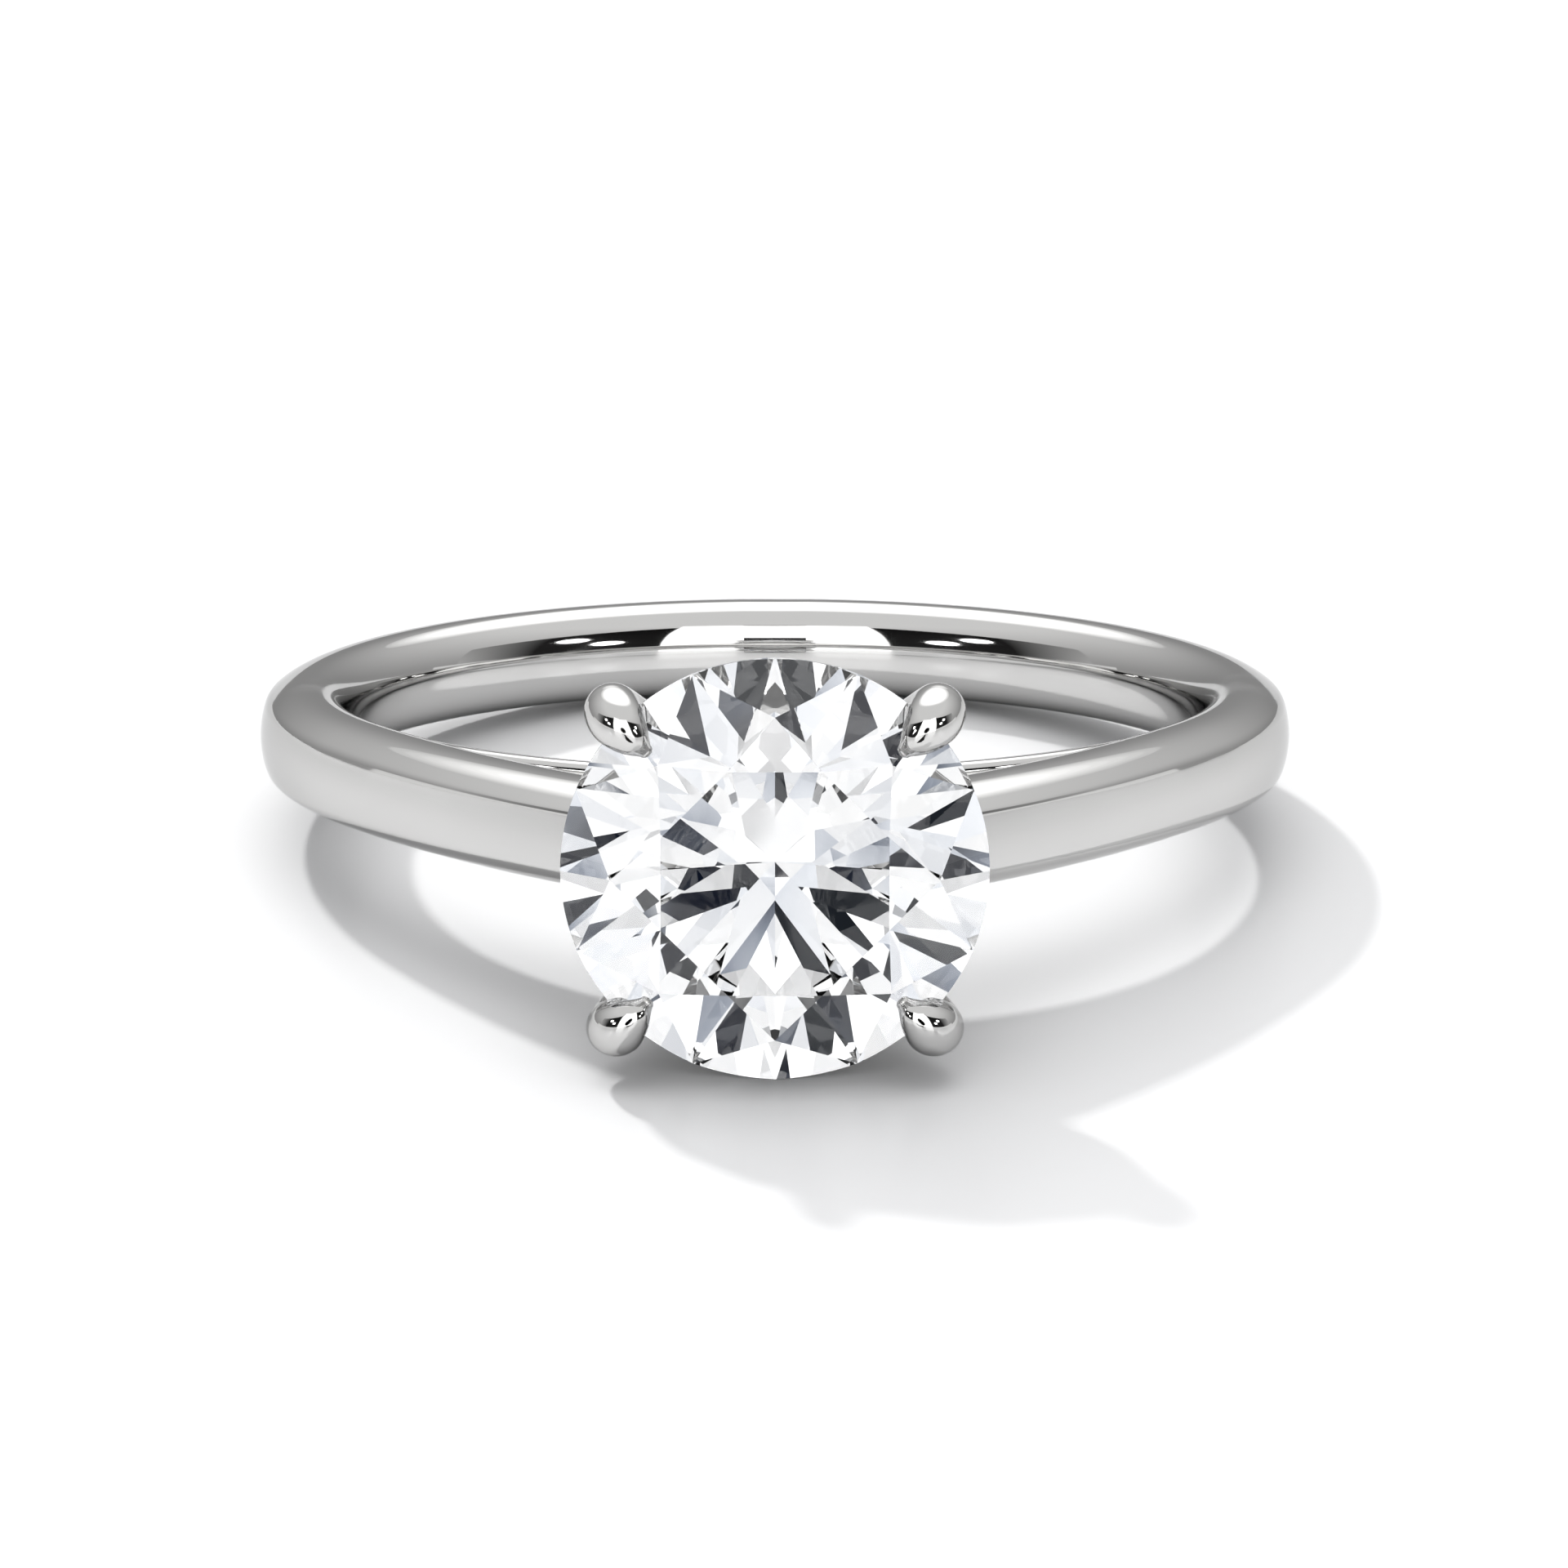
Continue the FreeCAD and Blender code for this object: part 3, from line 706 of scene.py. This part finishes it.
def add_card(name, points, faces, material, metal=False, stone=False):
    """A glowing card that shows only in the metal's reflections or only through the stone, so
    that it neither lights the floor nor stands in the picture."""
    mesh = bpy.data.meshes.new(name)
    mesh.from_pydata(points, [], faces)
    mesh.materials.append(material)
    obj = bpy.data.objects.new(name, mesh)
    bpy.context.scene.collection.objects.link(obj)
    obj.visible_camera = False
    obj.visible_diffuse = False
    obj.visible_shadow = False
    obj.visible_glossy = metal
    obj.visible_transmission = stone


def disc(name, azimuth, elevation, radius, distance, material, flatten=1.0, **seen):
    """A round card. radius is in degrees as seen from the ring."""
    facing = direction(azimuth, elevation)
    side = Vector((0, 0, 1)).cross(facing).normalized()
    rise = facing.cross(side)
    size = distance * math.tan(math.radians(radius))
    points = [
        MIDDLE + facing * distance + side * size * math.cos(a) + rise * size * flatten * math.sin(a)
        for a in np.linspace(0, 2 * math.pi, 48, endpoint=False)
    ]
    add_card(name, points, [tuple(range(48))], material, **seen)


def wall(name, azimuths, low, high, distance, material):
    """A curved upright card for the metal, over a range of azimuths and from the elevation low
    to high, which is a number or a function of the azimuth."""
    points = []
    for azimuth in azimuths:
        for elevation in (low, high(azimuth) if callable(high) else high):
            foot = direction(azimuth, 0) * distance
            points.append(foot + Vector((0, 0, distance * math.tan(math.radians(elevation)))))
    faces = [(2 * i, 2 * i + 2, 2 * i + 3, 2 * i + 1) for i in range(len(azimuths) - 1)]
    add_card(name, points, faces, material, metal=True)


def make_floor():
    """The white table, a little glossy."""
    mesh = bpy.data.meshes.new("floor")
    corners = [(x * FLOOR_HALF, y * FLOOR_HALF, 0) for x, y in ((-1, -1), (1, -1), (1, 1), (-1, 1))]
    mesh.from_pydata(corners, [], [(0, 1, 2, 3)])
    floor = bpy.data.objects.new("floor", mesh)
    bpy.context.scene.collection.objects.link(floor)
    material, tree, output = new_material("floor")
    shader = tree.nodes.new("ShaderNodeBsdfPrincipled")
    shader.inputs["Base Color"].default_value = (0.93, 0.93, 0.93, 1)
    shader.inputs["Roughness"].default_value = 0.25
    shader.inputs["Specular IOR Level"].default_value = 0.12
    tree.links.new(shader.outputs["BSDF"], output.inputs["Surface"])
    mesh.materials.append(material)


def camera_place():
    """Where the camera stands, and how it is turned, in the world."""
    place = CAMERA_DISTANCE * Vector((0, -math.cos(CAMERA_RISE), math.sin(CAMERA_RISE)))
    forward = -place.normalized()
    right = Vector((1, 0, 0))
    up = right.cross(forward)
    pitched = forward * math.cos(CAMERA_PITCH) + up * math.sin(CAMERA_PITCH)
    up = right.cross(pitched)
    facing = pitched * math.cos(CAMERA_YAW) + right * math.sin(CAMERA_YAW)
    right = facing.cross(up)
    turn = Matrix((right, up, -facing)).transposed()
    world = (Matrix.Rotation(TILT, 3, "X") @ turn).to_4x4()
    world.translation = LYING @ place
    return world


def make_camera():
    """The camera of the main view."""
    data = bpy.data.cameras.new("camera")
    data.sensor_width = CAMERA_SENSOR
    data.lens = CAMERA_LENS
    data.clip_start = 0.001
    camera = bpy.data.objects.new("camera", data)
    bpy.context.scene.collection.objects.link(camera)
    camera.matrix_world = camera_place()
    bpy.context.scene.camera = camera


def room_top(azimuth):
    """The elevation of the dark room's upper edge, which falls off to either side."""
    return 48 - 26 * abs(azimuth / 100) ** 1.6


def make_metal_surroundings():
    """What the metal reflects: a dark room behind the viewer with a white card, round lamps and
    the camera in it, a dark strip on the table, and a large soft box above and behind."""
    wall("dark_room", np.linspace(-ROOM_HALF, ROOM_HALF, 33), ROOM_FOOT, room_top, ROOM_DISTANCE,
         glowing("dark_room", 0.004, strength_low=0.02))
    for side in (-1, 1):
        for step in range(ROOM_FADE):
            azimuths = side * np.linspace(ROOM_HALF + step, ROOM_HALF + step + 1, 2)
            glow = glowing("dim_room", 0.01 + 0.014 * step, strength_low=0.02 + 0.02 * step)
            wall("dim_room_%d_%d" % (side, step), azimuths, ROOM_FOOT, room_top, ROOM_DISTANCE, glow)
    wall("bright_foot", np.linspace(-FOOT_HALF, FOOT_HALF, 33), FOOT_LOW, ROOM_FOOT, ROOM_DISTANCE,
         glowing("bright_foot", 0.85, strength_low=1.05))
    wall("white_card", np.linspace(-CARD_HALF, CARD_HALF, 15), FOOT_LOW, CARD_TOP, CARD_DISTANCE,
         glowing("white_card", 2.0))
    disc("camera_hole", *CAMERA_HOLE, glowing("camera_hole", 0.0), metal=True)
    for azimuth, elevation in LAMPS:
        for side, word in ((-1, "left"), (1, "right")):
            disc("lamp_%d_%s" % (azimuth, word), side * azimuth, elevation, LAMP_RADIUS,
                 LAMP_DISTANCE, glowing("lamp", 5.0), flatten=0.7, metal=True)
    strip = [
        (-FLAG_NEAR_HALF, -FLAG_NEAR, FLAG_HEIGHT), (-FLAG_FAR_HALF, -FLAG_FAR, FLAG_HEIGHT),
        (FLAG_FAR_HALF, -FLAG_FAR, FLAG_HEIGHT), (FLAG_NEAR_HALF, -FLAG_NEAR, FLAG_HEIGHT),
    ]
    add_card("flag", strip, [(0, 1, 2, 3)], glowing("flag", 0.02), metal=True)
    for step in range(SOFT_BOX_STEPS):
        disc("soft_box_%d" % step, SOFT_BOX_AZIMUTH, SOFT_BOX_ELEVATION, SOFT_BOX_RADIUS + step,
             SOFT_BOX_DISTANCE + SOFT_BOX_GAP * step,
             glowing("soft_box", SOFT_BOX_STRENGTH - SOFT_BOX_FALL * step), metal=True)


def make_world():
    """Pale all round. The metal sees it dimmer low down behind, and the stone sees it bright
    with grey and dark patches."""
    world = bpy.data.worlds.new("studio")
    bpy.context.scene.world = world
    world.use_nodes = True
    tree = world.node_tree
    tree.nodes.clear()
    output = tree.nodes.new("ShaderNodeOutputWorld")
    path = tree.nodes.new("ShaderNodeLightPath")

    def background(colour, strength):
        node = tree.nodes.new("ShaderNodeBackground")
        node.inputs["Color"].default_value = (*colour, 1)
        node.inputs["Strength"].default_value = strength
        return node

    def mix(factor, low, high):
        node = tree.nodes.new("ShaderNodeMixShader")
        tree.links.new(factor, node.inputs["Fac"])
        tree.links.new(low, node.inputs[1])
        tree.links.new(high, node.inputs[2])
        return node.outputs["Shader"]

    base = background((0.98, 0.985, 1.0), 0.72)

    place = tree.nodes.new("ShaderNodeTexCoord")
    parts = tree.nodes.new("ShaderNodeSeparateXYZ")
    tree.links.new(place.outputs["Generated"], parts.inputs["Vector"])
    reflected = background((1.0, 1.0, 1.0), 1.0)
    tree.links.new(remap(tree, parts.outputs["Z"], 0.05, 0.75, 0.42, 0.92), reflected.inputs["Strength"])

    shift = tree.nodes.new("ShaderNodeVectorMath")
    shift.operation = "ADD"
    shift.inputs[1].default_value = PATCH_SHIFT
    tree.links.new(place.outputs["Generated"], shift.inputs[0])
    ramp = tree.nodes.new("ShaderNodeValToRGB")
    stops = ramp.color_ramp.elements
    stops[0].position, stops[0].color = ROOM_PATCHES[0]
    stops[1].position, stops[1].color = ROOM_PATCHES[-1]
    for position, colour in ROOM_PATCHES[1:-1]:
        stops.new(position).color = colour
    tree.links.new(noise(tree, shift.outputs["Vector"], PATCH_SCALE, 3.0, 0.55), ramp.inputs["Fac"])
    through = background((1.0, 1.0, 1.0), 1.1)
    tree.links.new(ramp.outputs["Color"], through.inputs["Color"])

    shader = mix(path.outputs["Is Glossy Ray"], base.outputs["Background"], reflected.outputs["Background"])
    shader = mix(path.outputs["Is Transmission Ray"], shader, through.outputs["Background"])
    tree.links.new(shader, output.inputs["Surface"])


def make_stone_surroundings():
    """What else the stone sees: the camera, two dark corners and three white cards."""
    for azimuth, elevation, radius in STONE_DARK:
        disc("stone_dark_%d" % azimuth, azimuth, elevation, radius, STONE_DARK_DISTANCE,
             glowing("stone_dark", 0.02, (0.6, 0.75, 1.0)), stone=True)
    for azimuth, elevation, radius in STONE_WHITE:
        disc("stone_white_%d" % azimuth, azimuth, elevation, radius, STONE_WHITE_DISTANCE,
             glowing("stone_white", 1.2), stone=True)


def area_light(name, place, size, power):
    """A square light that faces the ring and shows in no reflection."""
    light = bpy.data.lights.new(name, "AREA")
    light.shape = "SQUARE"
    light.size = size
    light.energy = power
    obj = bpy.data.objects.new(name, light)
    bpy.context.scene.collection.objects.link(obj)
    obj.location = place
    obj.rotation_euler = (MIDDLE - Vector(place)).to_track_quat("-Z", "Y").to_euler()
    obj.visible_glossy = False
    obj.visible_transmission = False


def set_colours_and_bounces():
    """Plain sRGB, and enough bounces for the light to find its way through the stone."""
    view = bpy.context.scene.view_settings
    view.view_transform = "Standard"
    view.look = "None"
    cycles = bpy.context.scene.cycles
    cycles.max_bounces = 32
    cycles.transmission_bounces = 32
    cycles.glossy_bounces = 8
    cycles.diffuse_bounces = 3
    cycles.blur_glossy = 0.0
    cycles.caustics_reflective = False
    cycles.caustics_refractive = False


make_floor()
make_camera()
make_metal_surroundings()
make_world()
make_stone_surroundings()
area_light("key", direction(-150, 42) * 0.5, 0.032, 1.3)
area_light("fill", (0, 0, 0.6), 0.5, 1.0)
set_colours_and_bounces()
